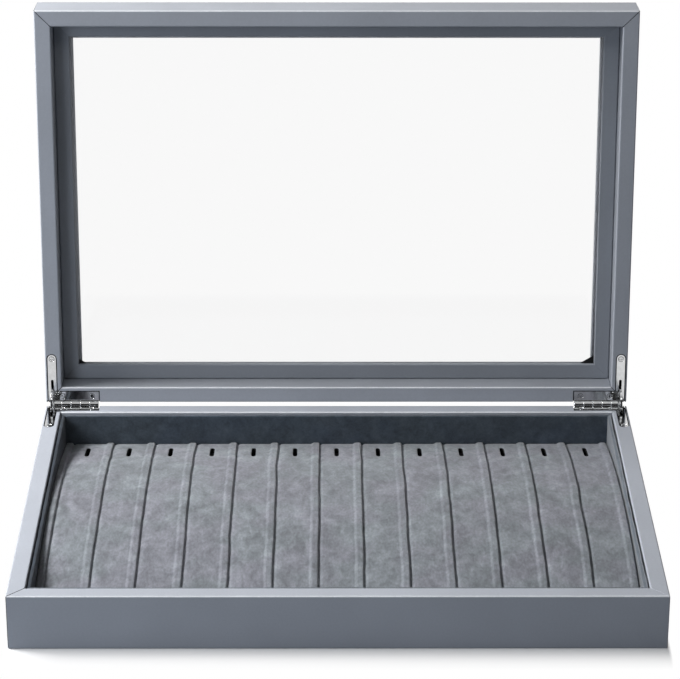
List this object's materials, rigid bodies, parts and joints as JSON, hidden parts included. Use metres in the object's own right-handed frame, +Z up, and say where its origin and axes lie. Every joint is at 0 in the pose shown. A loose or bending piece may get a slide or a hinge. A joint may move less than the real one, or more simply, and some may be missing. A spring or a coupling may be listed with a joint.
{
  "type": "jewellery display case",
  "caption": "Shallow wrapped jewellery display case with a glazed hinged lid and a lift-out tray that holds an arched, ribbed pad slotted for necklace chains.",
  "frame": {"origin": "centre of the base's bottom face, on the surface that the case stands on", "axes": "+X to the right along the case's width, +Y to the back, towards the hinges, +Z up"},
  "size_m": [0.35, 0.2852, 0.2722],
  "materials": {
    "leatherette": "satin grey-blue leatherette wrapped over board rails",
    "liner_suede": "dark grey-blue microsuede on the tray's walls and floor",
    "pad_suede": "grey microsuede over foam on an arched board, mottled nap",
    "board": "raw fibreboard",
    "lining": "black felt lining",
    "steel": "polished nickel-plated steel",
    "pin_steel": "bright steel pins and stays",
    "glass": "clear float glass",
    "corner_rubber": "black foam rubber"
  },
  "bodies": {
    "base": {"base_rail_front": "leatherette", "base_rail_back": "leatherette", "base_rail_left": "leatherette", "base_rail_right": "leatherette", "base_panel": "board", "bottom_cover": "lining", "lower_leaf_left": "steel", "lower_leaf_right": "steel", "hinge_pin_left": "pin_steel", "hinge_pin_right": "pin_steel", "lower_leaf_screws": "steel"},
    "insert": {"insert_floor": "liner_suede", "insert_wall_front": "liner_suede", "insert_wall_back": "liner_suede", "insert_wall_left": "liner_suede", "insert_wall_right": "liner_suede", "pad_formers": "board", "pad_rest_front": "board", "pad_rest_back": "board", "display_pad": "pad_suede"},
    "lid": {"lid_rail_front": "leatherette", "lid_rail_back": "leatherette", "lid_rail_left": "leatherette", "lid_rail_right": "leatherette", "lid_glass": "glass", "glass_corner_pads": "corner_rubber", "retainer_front": "leatherette", "retainer_back": "leatherette", "retainer_left": "leatherette", "retainer_right": "leatherette", "upper_leaf_left": "steel", "upper_leaf_right": "steel", "upper_leaf_screws": "steel"},
    "stay_left": {"stay_left": "pin_steel"},
    "stay_right": {"stay_right": "pin_steel"}
  },
  "joints": [
    {"name": "lid_hinge", "type": "hinge", "parent": "base", "child": "lid", "pos_m": [0, 0.1214, 0.03165], "axis": [1, 0, 0], "range_deg": [0, 94.7]},
    {"name": "stay_left_turn", "type": "hinge", "parent": "base", "child": "stay_left", "pos_m": [0, 0.1214, 0.03165], "axis": [1, 0, 0], "range_deg": [0, 47.35]},
    {"name": "stay_right_turn", "type": "hinge", "parent": "base", "child": "stay_right", "pos_m": [0, 0.1214, 0.03165], "axis": [1, 0, 0], "range_deg": [0, 47.35]},
    {"name": "insert_lift", "type": "slide", "parent": "base", "child": "insert", "axis": [0, 0, 1], "range_m": [0, 0.015]}
  ],
  "couplings": [
    {"joint": "stay_left_turn", "follows": "lid_hinge", "ratio": 0.5},
    {"joint": "stay_right_turn", "follows": "lid_hinge", "ratio": 0.5}
  ]
}
